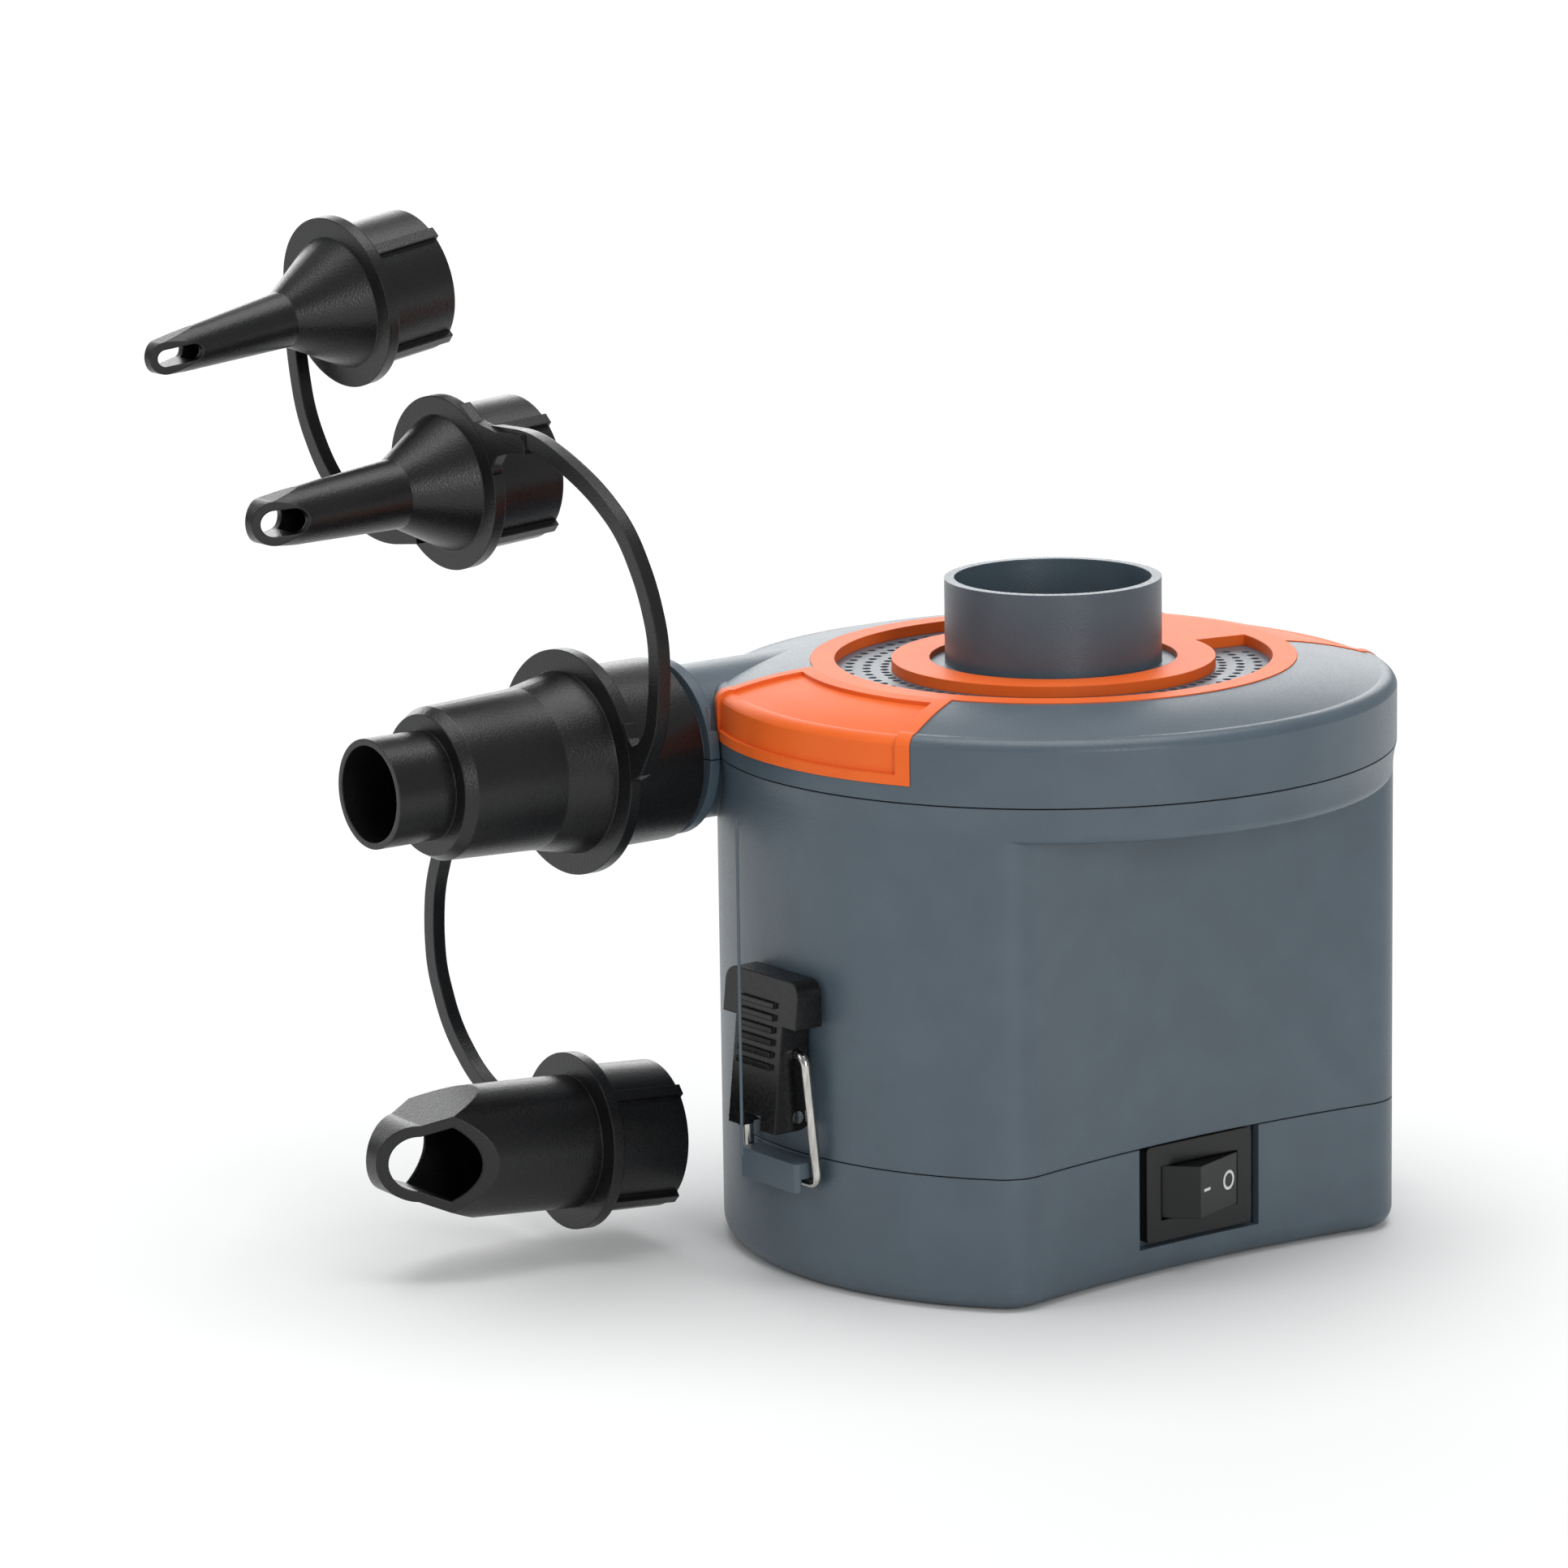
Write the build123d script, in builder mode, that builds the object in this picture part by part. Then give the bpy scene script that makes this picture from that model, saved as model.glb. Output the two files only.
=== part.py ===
from build123d import *
from math import cos, hypot, radians, sin, tan
import os

# Battery air pump with a latched battery base, a top inlet collar, a side
# spout and a tethered set of push-on nozzles.  Millimetres.  Origin at the
# middle of the underside, +Z up, the spout points to -X, the switch faces -Y.

# ---- driving sizes -------------------------------------------------------
BODY_R = 52.9               # round sides of the housing and of the base
FLAT_Y = 34.7               # axis to the middle of each dished flat
FLAT_DISH_R = 225.0         # hollow of the two flats, seen from above
CORNER_R = 7.0              # rounding where a flat meets the round side
WALL = 1.5                  # moulded wall of housing and base
SEAM_GAP = 0.2              # visible gap at a parting seam

BASE_SEAM_Z = 20.8          # seam between the base and the housing
BASE_FLOOR = 1.8            # floor of the base
BASE_EDGE_R = 3.0           # rounded lower edge of the base
SHELF_Z = 72.5              # underside of the step where the flats end
SHELF_T = 1.6
SHELF_EDGE_R = 1.5             # rounded lower edge of the step
LID_SEAM_Z = 78.3           # seam between the housing and the lid
BAND_R = 53.5               # round band under the lid and rim of the lid
BAND_WALL = 1.8

LID_RIM_Z = 87.0            # rim of the lid before its rounded shoulder
LID_SHOULDER_R = 51.0
LID_SHOULDER_Z = 88.6
LID_TOP_Z = 91.2
LID_DOME_R = 38.0           # dome starts outside this radius
LID_FLOOR_Z = 88.6          # sunk floor under the trim
LID_UNDER_Z = 87.0          # underside of the sunk floor
COLLAR_R = 16.95            # inlet collar, outer
COLLAR_IN_R = 15.4
COLLAR_TOP_Z = 103.9
BOSS_R = 19.3               # grey disc around the collar
BOSS_Z = 90.5

TRIM_R = 38.0               # outer ring of the orange trim
GRILLE_OUT_R = 34.2         # open annulus that shows the grille
GRILLE_IN_R = 25.3
GRILLE_GAP = (-11.0, 75.0)  # closed part of the annulus, degrees
WING_SPANS = ((152.7, 207.3), (-22.3, 32.3))
WING_END_Z = 81.0           # the wings run down the rim to here
TRIM_PROUD = 0.15
TRIM_SINK = 0.95
HOLE_R = 0.68               # perforations of the grille
HOLE_RINGS = (26.4, 29.2, 32.0)
HOLES_PER_TURN = 72
GRILLE_T = 1.0
GRILLE_LAP = 0.8            # hidden lap of the grille under the trim

SPOUT_Y = 34.6              # spout axis, parallel to X
SPOUT_R = 12.2
SPOUT_IN_R = 10.7
SPOUT_START_X = -22.0
SPOUT_END_X = -67.0
SPOUT_RING_X = -49.6        # stop ring on the spout
SPOUT_RING_T = 1.8
SPOUT_RING_R = 13.9
FIT = 0.05                  # running clearance on the radius

CELL_R = 17.1               # D cell
CELL_H = 61.5
CELL_X = 28.3
CELL_Y = 17.25
CELL_Z = 4.2
CELL_SLACK = 0.2
CARRIER_Z = 22.0
CARRIER_PLATE_Z = 66.6
CARRIER_PLATE_T = 1.6
CONTACT_T = 0.4             # stamped contact strips

MOTOR_R = 13.85
MOTOR_LEN = 36.0
DECK_T = 1.6
SHAFT_R = 1.15
IMPELLER_R = 24.5
VOLUTE_START_R = 28.5
VOLUTE_TONGUE = 120.0       # direction of the spiral's tongue, degrees
VOLUTE_OUT_Y = 43.0
VOLUTE_IN_Y = 24.0
VOLUTE_TOP_Z = 84.4
VOLUTE_WALL = 1.5
COVER_T = 1.2
EYE_R = 12.5

HINGE_X = 55.6
KNUCKLE_R = 2.2
HINGE_PIN_R = 1.0

LEVER_PIVOT = (-55.5, 27.4)     # X, Z of the latch pin
BAIL_PIVOT = (-55.5, 37.3)      # X, Z of the holes for the bail
BAIL_BAR = (-53.9, 17.0)        # X, Z of the closed end of the bail
BAIL_WIRE_R = 0.8
LATCH_PIN_R = 1.0
LEVER_HALF = 5.85
LEVER_HEAD_HALF = 9.2

SWITCH_Z = 13.05            # centre height of the rocker switch
SWITCH_FACE_Y = -35.0
BEZEL = (21.0, 15.3)
WINDOW = (15.4, 8.6)
ROCKER_AXIS_Y = -32.0

NOZZLE_X = -69.2            # front face of the nozzle flanges
FLANGE_T = 2.0
NOZZLE_FLANGE_R = 13.9
STRAP_W = 2.6
STRAP_T = 2.2
# centre (Y, Z), swing towards -Y and dip of each tethered nozzle, degrees
MEDIUM_POSE = (66.5, 118.0, 1.8, 3.7)
FINE_POSE = (95.7, 143.5, 3.2, 8.5)
SLANT_POSE = (36.0, 17.5, -4.0, -3.7)

# ---- derived -------------------------------------------------------------
BASE_TOP = BASE_SEAM_Z - SEAM_GAP / 2
HOUSING_Z = BASE_SEAM_Z + SEAM_GAP / 2
HOUSING_TOP = LID_SEAM_Z - SEAM_GAP / 2
LID_BOTTOM = LID_SEAM_Z + SEAM_GAP / 2
BAND_IN_R = BAND_R - BAND_WALL
DECK_Z = SHELF_Z + SHELF_T
DECK_TOP = DECK_Z + DECK_T
CELL_TOP = CELL_Z + CELL_H
REACH = 90.0

os.makedirs("parts", exist_ok=True)


def wedge(start, end, apex_shift=0.0):
    """Corner points of a wedge from the axis, between two directions."""
    middle = radians((start + end) / 2)
    apex = (apex_shift * cos(middle), apex_shift * sin(middle))
    points = [apex]
    for angle in (start, (start + end) / 2, end):
        turn = radians(angle)
        points.append((apex[0] + REACH * cos(turn), apex[1] + REACH * sin(turn)))
    return points


def save(piece, name):
    """Name a finished piece and write its file."""
    piece.label = name
    export_step(piece, f"parts/{name}.step")


def body_plan(inset):
    """Plan of the body, a circle with two dished flats, drawn in by a depth."""
    with BuildSketch() as plan:
        Circle(BODY_R - inset)
        for side in (-1, 1):
            with Locations((0, side * (FLAT_Y + FLAT_DISH_R))):
                Circle(FLAT_DISH_R + inset, mode=Mode.SUBTRACT)
        fillet(plan.vertices(), CORNER_R - inset)
    return plan.sketch


def volute_plan(wall, tongue_angle):
    """Fan chamber in plan: a spiral from its tongue, opening into a channel."""
    growth = (VOLUTE_OUT_Y - VOLUTE_START_R) / (450 - VOLUTE_TONGUE)
    spiral_points = []
    for step in range(12):
        turn = tongue_angle + (450 - tongue_angle) * step / 11
        spiral_r = wall + VOLUTE_START_R + growth * (turn - VOLUTE_TONGUE)
        spiral_points.append((spiral_r * cos(radians(turn)), spiral_r * sin(radians(turn))))
    with BuildSketch() as plan:
        with BuildLine():
            Spline(*spiral_points)
            Polyline(
                spiral_points[-1],
                (SPOUT_START_X, VOLUTE_OUT_Y + wall),
                (SPOUT_START_X, min(VOLUTE_IN_Y, spiral_points[0][1])),
                spiral_points[0],
            )
        make_face()
    return plan.sketch


def lid_section(grow):
    """Half section of the lid's outer form, swelled or shrunk by a depth."""
    with BuildSketch() as section:
        with BuildLine():
            Polyline((0, LID_BOTTOM), (BAND_R + grow, LID_BOTTOM), (BAND_R + grow, LID_RIM_Z))
            ThreePointArc(
                (BAND_R + grow, LID_RIM_Z),
                (BAND_R - 0.75 + 0.8 * grow, LID_RIM_Z + 1.15 + 0.6 * grow),
                (LID_SHOULDER_R + 0.3 * grow, LID_SHOULDER_Z + 0.95 * grow),
            )
            ThreePointArc(
                (LID_SHOULDER_R + 0.3 * grow, LID_SHOULDER_Z + 0.95 * grow),
                (
                    (LID_SHOULDER_R + LID_DOME_R) / 2,
                    (LID_SHOULDER_Z + LID_TOP_Z) / 2 + 0.35 + grow,
                ),
                (LID_DOME_R, LID_TOP_Z + grow),
            )
            Polyline((LID_DOME_R, LID_TOP_Z + grow), (0, LID_TOP_Z + grow), (0, LID_BOTTOM))
        make_face()
    return section.sketch


def smooth_path(points):
    """Straight runs through the points, joined by the largest tangent arcs."""
    vectors = [Vector(*point) for point in points]
    radii = []
    for before, corner, after in zip(vectors, vectors[1:], vectors[2:]):
        run = min((corner - before).length, (after - corner).length)
        turn = radians((corner - before).get_angle(after - corner))
        radii.append(0.45 * run / tan(turn / 2))
    return FilletPolyline(*points, radius=radii)


# Plane of the spout's cross-sections: local x is Y, local z points to -X.
spout_plane = Plane(origin=(0, SPOUT_Y, LID_SEAM_Z), x_dir=(0, 1, 0), z_dir=(-1, 0, 0))

# Positions of the three lid screws, in plan.
LID_SCREW_SPOTS = [(21.5, 43.0), (18.0, -44.5), (-18.0, -44.5)]
MOTOR_SCREW_SPOTS = [(8.5, 0.0), (-8.5, 0.0)]
CARRIER_SCREW_SPOTS = [(0.0, 24.0), (0.0, -24.0)]
SCREW_R = 1.25
SCREW_HEAD_R = 2.3

# ---- housing -------------------------------------------------------------
with BuildPart() as housing:
    # flat-sided lower shell, then the round band that carries the lid; the band
    # overhangs the flats with a rounded edge and runs smoothly into the round sides
    with BuildSketch(Plane.XY.offset(HOUSING_Z)):
        add(body_plan(0))
    extrude(amount=SHELF_Z + SHELF_EDGE_R - HOUSING_Z)
    with BuildSketch(Plane.XZ):
        with BuildLine():
            Line((0, SHELF_Z), (BODY_R - SHELF_EDGE_R, SHELF_Z))
            TangentArc((BODY_R - SHELF_EDGE_R, SHELF_Z), (BODY_R, SHELF_Z + SHELF_EDGE_R), tangent=(1, 0))
            TangentArc((BODY_R, SHELF_Z + SHELF_EDGE_R), (BAND_R, HOUSING_TOP), tangent=(0, 1))
            Polyline((BAND_R, HOUSING_TOP), (0, HOUSING_TOP), (0, SHELF_Z))
        make_face()
    revolve(axis=Axis.Z)
    with BuildSketch(Plane.XY.offset(HOUSING_Z)):
        add(body_plan(WALL))
    extrude(amount=DECK_Z - HOUSING_Z, mode=Mode.SUBTRACT)
    with BuildSketch(Plane.XY.offset(DECK_Z)):
        Circle(BAND_IN_R)
    extrude(amount=HOUSING_TOP - DECK_Z, mode=Mode.SUBTRACT)

    # lower half of the spout with its stop ring
    with BuildSketch(spout_plane.offset(-SPOUT_START_X)):
        Circle(SPOUT_R)
    extrude(amount=SPOUT_START_X - SPOUT_END_X)
    with BuildSketch(spout_plane.offset(-SPOUT_RING_X)):
        Circle(SPOUT_RING_R)
    extrude(amount=SPOUT_RING_T)
    with BuildSketch(spout_plane.offset(-SPOUT_START_X + WALL)):
        Circle(SPOUT_IN_R)
    extrude(amount=SPOUT_START_X - SPOUT_END_X, mode=Mode.SUBTRACT)
    with BuildSketch(spout_plane.offset(-SPOUT_START_X)):
        Circle(SPOUT_IN_R)
        with Locations((0, DECK_TOP - LID_SEAM_Z)):
            Rectangle(REACH, REACH, align=(Align.CENTER, Align.MIN), mode=Mode.INTERSECT)
    extrude(amount=WALL, mode=Mode.SUBTRACT)
    with BuildSketch(Plane.XY.offset(HOUSING_TOP)):
        Rectangle(2 * REACH, 2 * REACH)
    extrude(amount=REACH, mode=Mode.SUBTRACT)

    # tongue that carries the switch, reaching down inside the base
    with BuildSketch(Plane.XZ.offset(31.5)):
        with Locations((0, 3.6)):
            Rectangle(26.0, 20.4, align=(Align.CENTER, Align.MIN))
        with Locations((0, SWITCH_Z)):
            Rectangle(19.0, 13.2, mode=Mode.SUBTRACT)
    extrude(amount=1.5)
    with BuildSketch(Plane.XY.offset(HOUSING_Z)):
        with Locations((0, -31.5)):
            Rectangle(26.0, 2.8, align=(Align.CENTER, Align.MAX))
    extrude(amount=3.0)

    # lug for the latch pin
    with BuildSketch(Plane.XZ):
        with Locations(LEVER_PIVOT):
            Circle(1.9)
            Rectangle(3.2, 3.8, align=(Align.MIN, Align.CENTER))
            Circle(LATCH_PIN_R, mode=Mode.SUBTRACT)
    extrude(amount=3.2, both=True)

    # middle knuckle of the base hinge
    with BuildSketch(Plane.XZ):
        with Locations((HINGE_X, BASE_SEAM_Z)):
            Circle(KNUCKLE_R)
        with Locations((HINGE_X - 4.0, HOUSING_Z)):
            Rectangle(4.0, KNUCKLE_R - SEAM_GAP / 2, align=(Align.MIN, Align.MIN))
        with Locations((HINGE_X, BASE_SEAM_Z)):
            Circle(HINGE_PIN_R, mode=Mode.SUBTRACT)
    extrude(amount=6.0, both=True)

    # countersunk holes for the lid screws, through the shelf
    with BuildSketch(Plane.XY.offset(SHELF_Z)):
        with Locations(*LID_SCREW_SPOTS):
            Circle(SCREW_R)
    extrude(amount=SHELF_T, mode=Mode.SUBTRACT)
    with Locations(*[(x, y, SHELF_Z) for x, y in LID_SCREW_SPOTS]):
        Cone(
            SCREW_HEAD_R + FIT,
            SCREW_R + FIT,
            SCREW_HEAD_R - SCREW_R,
            align=(Align.CENTER, Align.CENTER, Align.MIN),
            mode=Mode.SUBTRACT,
        )
save(housing.part, "housing")

# ---- fan deck: floor and spiral wall of the fan chamber --------------------
with BuildPart() as fan_deck:
    with BuildSketch(Plane.XY.offset(DECK_Z)):
        Circle(BAND_IN_R - SEAM_GAP)
        Circle(5.3, mode=Mode.SUBTRACT)
        with Locations(*LID_SCREW_SPOTS, *MOTOR_SCREW_SPOTS):
            Circle(SCREW_R, mode=Mode.SUBTRACT)
    extrude(amount=DECK_T)
    with BuildSketch(Plane.XY.offset(DECK_TOP)):
        add(volute_plan(VOLUTE_WALL, VOLUTE_TONGUE + 14))
    extrude(amount=VOLUTE_TOP_Z - DECK_TOP)
    with BuildSketch(Plane.XY.offset(DECK_TOP)):
        add(volute_plan(0, VOLUTE_TONGUE))
    extrude(amount=VOLUTE_TOP_Z - DECK_TOP, mode=Mode.SUBTRACT)
    # sunk seats for the motor screw heads
    with BuildSketch(Plane.XY.offset(DECK_TOP - 0.9)):
        with Locations(*MOTOR_SCREW_SPOTS):
            Circle(2.4)
    extrude(amount=0.9, mode=Mode.SUBTRACT)
    # posts for the battery carrier screws
    with BuildSketch(Plane.XY.offset(CARRIER_PLATE_Z + CARRIER_PLATE_T)):
        with Locations(*CARRIER_SCREW_SPOTS):
            Circle(2.8)
            Circle(SCREW_R, mode=Mode.SUBTRACT)
    extrude(amount=DECK_Z - CARRIER_PLATE_Z - CARRIER_PLATE_T)
    # room for the spout
    with BuildSketch(spout_plane.offset(-SPOUT_START_X)):
        Circle(SPOUT_R + SEAM_GAP)
    extrude(amount=REACH, mode=Mode.SUBTRACT)
save(fan_deck.part, "fan_deck")

# ---- chamber cover with the inlet eye -------------------------------------
with BuildPart() as chamber_cover:
    with BuildSketch(Plane.XY.offset(VOLUTE_TOP_Z)):
        add(volute_plan(VOLUTE_WALL, VOLUTE_TONGUE + 14))
        Circle(EYE_R, mode=Mode.SUBTRACT)
    extrude(amount=COVER_T)
save(chamber_cover.part, "chamber_cover")

# ---- orange trim: rings, wings over the shoulder, sunk panels --------------
with BuildPart() as wing_panels:
    with BuildSketch(Plane.XZ):
        add(lid_section(2.0))
        add(lid_section(TRIM_PROUD - 0.6), mode=Mode.SUBTRACT)
        with Locations((TRIM_R + 2.2, WING_END_Z + 1.6)):
            Rectangle(REACH, REACH, align=(Align.MIN, Align.MIN), mode=Mode.INTERSECT)
    revolve(axis=Axis.Z)
    with BuildSketch(Plane.XY.offset(WING_END_Z)):
        for start, end in WING_SPANS:
            with BuildLine():
                Polyline(*wedge(start, end, apex_shift=5.4), close=True)
            make_face()
    extrude(amount=20.0, mode=Mode.INTERSECT)

with BuildPart() as trim_ring:
    with BuildSketch(Plane.XZ):
        add(lid_section(TRIM_PROUD))
        add(lid_section(-TRIM_SINK), mode=Mode.SUBTRACT)
        with Locations((TRIM_R - 1.0, WING_END_Z)):
            Rectangle(REACH, REACH, align=(Align.MIN, Align.MIN), mode=Mode.INTERSECT)
        with Locations((BOSS_R + 0.05, LID_FLOOR_Z)):
            Rectangle(
                TRIM_R - BOSS_R - 0.05,
                LID_TOP_Z + TRIM_PROUD - LID_FLOOR_Z,
                align=(Align.MIN, Align.MIN),
            )
    revolve(axis=Axis.Z)
    with BuildSketch(Plane.XY.offset(WING_END_Z - 1)) as trim_plan:
        for start, end in WING_SPANS:
            with BuildLine():
                Polyline(*wedge(start, end), close=True)
            make_face()
        Circle(TRIM_R)
    extrude(amount=20.0, mode=Mode.INTERSECT)
    # C-shaped window over the grille, with a wider rebate below it
    with BuildSketch(Plane.XY.offset(LID_FLOOR_Z)):
        Circle(GRILLE_OUT_R)
        Circle(GRILLE_IN_R, mode=Mode.SUBTRACT)
        with BuildLine():
            Polyline(*wedge(*GRILLE_GAP), close=True)
        make_face(mode=Mode.SUBTRACT)
    extrude(amount=10.0, mode=Mode.SUBTRACT)
    with BuildSketch(Plane.XY.offset(LID_FLOOR_Z)):
        Circle(GRILLE_OUT_R + GRILLE_LAP)
        Circle(GRILLE_IN_R - GRILLE_LAP, mode=Mode.SUBTRACT)
        with BuildLine():
            Polyline(*wedge(GRILLE_GAP[0] + 2, GRILLE_GAP[1] - 2), close=True)
        make_face(mode=Mode.SUBTRACT)
    extrude(amount=GRILLE_T, mode=Mode.SUBTRACT)
    add(wing_panels.part, mode=Mode.SUBTRACT)
save(trim_ring.part, "trim_ring")

# ---- perforated grille under the trim --------------------------------------
with BuildPart() as intake_grille:
    with BuildSketch(Plane.XY.offset(LID_FLOOR_Z)):
        Circle(GRILLE_OUT_R + GRILLE_LAP)
        Circle(GRILLE_IN_R - GRILLE_LAP, mode=Mode.SUBTRACT)
        with BuildLine():
            Polyline(*wedge(GRILLE_GAP[0] + 2, GRILLE_GAP[1] - 2), close=True)
        make_face(mode=Mode.SUBTRACT)
        first = int((GRILLE_GAP[1] + 3) * HOLES_PER_TURN / 360) + 1
        last = int((GRILLE_GAP[0] - 3 + 360) * HOLES_PER_TURN / 360)
        for ring, hole_ring_r in enumerate(HOLE_RINGS):
            for step in range(first, last):
                angle = radians((step + 0.5 * (ring % 2)) * 360 / HOLES_PER_TURN)
                with Locations((hole_ring_r * cos(angle), hole_ring_r * sin(angle))):
                    Circle(HOLE_R, mode=Mode.SUBTRACT)
    extrude(amount=GRILLE_T)
save(intake_grille.part, "intake_grille")

# ---- lid -----------------------------------------------------------------
with BuildPart() as lid:
    with BuildSketch(Plane.XZ):
        add(lid_section(0))
    revolve(axis=Axis.Z)
    with BuildSketch(Plane.XY.offset(LID_FLOOR_Z)):
        Circle(TRIM_R)
    extrude(amount=REACH, mode=Mode.SUBTRACT)
    with BuildSketch(Plane.XZ):
        add(lid_section(-BAND_WALL))
        Rectangle(3 * BAND_R, 2 * LID_UNDER_Z, mode=Mode.INTERSECT)
    revolve(axis=Axis.Z, mode=Mode.SUBTRACT)
    with BuildSketch(Plane.XY.offset(LID_BOTTOM)):
        Circle(BAND_IN_R)
    extrude(amount=4.0, mode=Mode.SUBTRACT)
    # central disc and the inlet collar
    with BuildSketch(Plane.XY.offset(LID_UNDER_Z)):
        Circle(BOSS_R)
    extrude(amount=BOSS_Z - LID_UNDER_Z)
    with BuildSketch(Plane.XY.offset(LID_UNDER_Z)):
        Circle(COLLAR_R)
    extrude(amount=COLLAR_TOP_Z - LID_UNDER_Z)
    with BuildSketch(Plane.XY.offset(LID_UNDER_Z)):
        Circle(COLLAR_IN_R)
    extrude(amount=COLLAR_TOP_Z - LID_UNDER_Z, mode=Mode.SUBTRACT)
    # window under the grille, left as six openings between spokes
    with BuildSketch(Plane.XY.offset(LID_UNDER_Z)):
        Circle(GRILLE_OUT_R - 0.8)
        Circle(GRILLE_IN_R + 0.4, mode=Mode.SUBTRACT)
        with BuildLine():
            Polyline(*wedge(GRILLE_GAP[0] - 1, GRILLE_GAP[1] + 1), close=True)
        make_face(mode=Mode.SUBTRACT)
        for step in range(5):
            turn = GRILLE_GAP[1] + (step + 1) * (360 + GRILLE_GAP[0] - GRILLE_GAP[1]) / 6
            spoke_x = 30.0 * cos(radians(turn))
            spoke_y = 30.0 * sin(radians(turn))
            with Locations(Location((spoke_x, spoke_y, 0), (0, 0, turn))):
                Rectangle(16.0, 1.4, mode=Mode.SUBTRACT)
    extrude(amount=LID_FLOOR_Z - LID_UNDER_Z, mode=Mode.SUBTRACT)

    # bosses for the lid screws
    with BuildSketch(Plane.XY.offset(DECK_TOP)):
        with Locations(*LID_SCREW_SPOTS):
            Circle(2.4)
            Circle(SCREW_R, mode=Mode.SUBTRACT)
    extrude(amount=87.8 - DECK_TOP)

    # upper half of the spout with its half of the stop ring
    with BuildSketch(spout_plane.offset(-SPOUT_START_X)):
        Circle(SPOUT_R)
    extrude(amount=SPOUT_START_X - SPOUT_END_X)
    with BuildSketch(spout_plane.offset(-SPOUT_RING_X)):
        Circle(SPOUT_RING_R)
    extrude(amount=SPOUT_RING_T)
    with BuildSketch(spout_plane.offset(-SPOUT_START_X + WALL)):
        Circle(SPOUT_IN_R)
    extrude(amount=SPOUT_START_X - SPOUT_END_X, mode=Mode.SUBTRACT)
    with BuildSketch(spout_plane.offset(-SPOUT_START_X)):
        Circle(SPOUT_IN_R)
        with Locations((0, VOLUTE_TOP_Z - LID_SEAM_Z)):
            Rectangle(REACH, REACH, align=(Align.CENTER, Align.MAX), mode=Mode.INTERSECT)
    extrude(amount=WALL, mode=Mode.SUBTRACT)
    with BuildSketch(Plane.XY.offset(LID_BOTTOM)):
        with Locations((SPOUT_START_X, SPOUT_Y)):
            Rectangle(REACH, 4 * SPOUT_R, align=(Align.MAX, Align.CENTER))
    extrude(amount=-REACH, mode=Mode.SUBTRACT)
    add(trim_ring.part, mode=Mode.SUBTRACT)
    add(wing_panels.part, mode=Mode.SUBTRACT)
save(lid.part, "lid")

# ---- base that closes the battery bay --------------------------------------
with BuildPart() as base:
    with BuildSketch():
        add(body_plan(0))
    extrude(amount=BASE_TOP)
    fillet(base.edges().group_by(Axis.Z)[0], BASE_EDGE_R)
    with BuildSketch(Plane.XY.offset(BASE_FLOOR)):
        add(body_plan(WALL))
    extrude(amount=BASE_TOP - BASE_FLOOR, mode=Mode.SUBTRACT)

    # notch around the switch, open at the seam
    with BuildSketch(Plane.XZ.offset(FLAT_Y - WALL - 0.6)):
        with Locations((0, 4.7)):
            Rectangle(24.0, BASE_TOP, align=(Align.CENTER, Align.MIN))
    extrude(amount=4.0, mode=Mode.SUBTRACT)

    # keeper block for the latch, grooved from below for the bail's bar
    with BuildSketch(Plane.XY.offset(15.8)):
        with Locations((-BODY_R + WALL, 0)):
            Rectangle(57.0 - BODY_R + WALL, 14.6, align=(Align.MAX, Align.CENTER))
    extrude(amount=4.6)
    keeper_corners = base.edges().filter_by(Axis.Z).filter_by_position(Axis.X, -57.1, -56.9)
    fillet(keeper_corners, 0.8)
    with BuildSketch(Plane.XZ):
        with Locations((-BODY_R, 15.0)):
            Rectangle(56.0 - BODY_R, 2.95, align=(Align.MAX, Align.MIN))
    extrude(amount=8.0, both=True, mode=Mode.SUBTRACT)

    # outer knuckles of the base hinge
    for side in (-1, 1):
        with BuildSketch(Plane.XZ.offset(side * 9.15)):
            with Locations((HINGE_X, BASE_SEAM_Z)):
                Circle(KNUCKLE_R)
            with Locations((HINGE_X - 4.4, BASE_TOP)):
                Rectangle(4.4, KNUCKLE_R - SEAM_GAP / 2, align=(Align.MIN, Align.MAX))
            with Locations((HINGE_X, BASE_SEAM_Z)):
                Circle(HINGE_PIN_R + FIT, mode=Mode.SUBTRACT)
        extrude(amount=2.85, both=True)
save(base.part, "base")

with BuildPart() as hinge_pin:
    with BuildSketch(Plane.XZ.offset(-12.0)):
        with Locations((HINGE_X, BASE_SEAM_Z)):
            Circle(HINGE_PIN_R)
    extrude(amount=24.0)
save(hinge_pin.part, "hinge_pin")

# ---- latch: lever, pin and wire bail ----------------------------------------
LEVER_BACK_X = -53.2
LEVER_LOW_Z = 25.3
LEVER_HIGH_Z = 49.2
LEVER_NECK_Z = 42.0
LEVER_FRONT_LOW_X = -60.0
LEVER_SLOPE = 0.107


def lever_front(height):
    """Front face of the lever at a height, leaning in towards the top."""
    return LEVER_FRONT_LOW_X + (height - LEVER_LOW_Z) * LEVER_SLOPE


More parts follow.
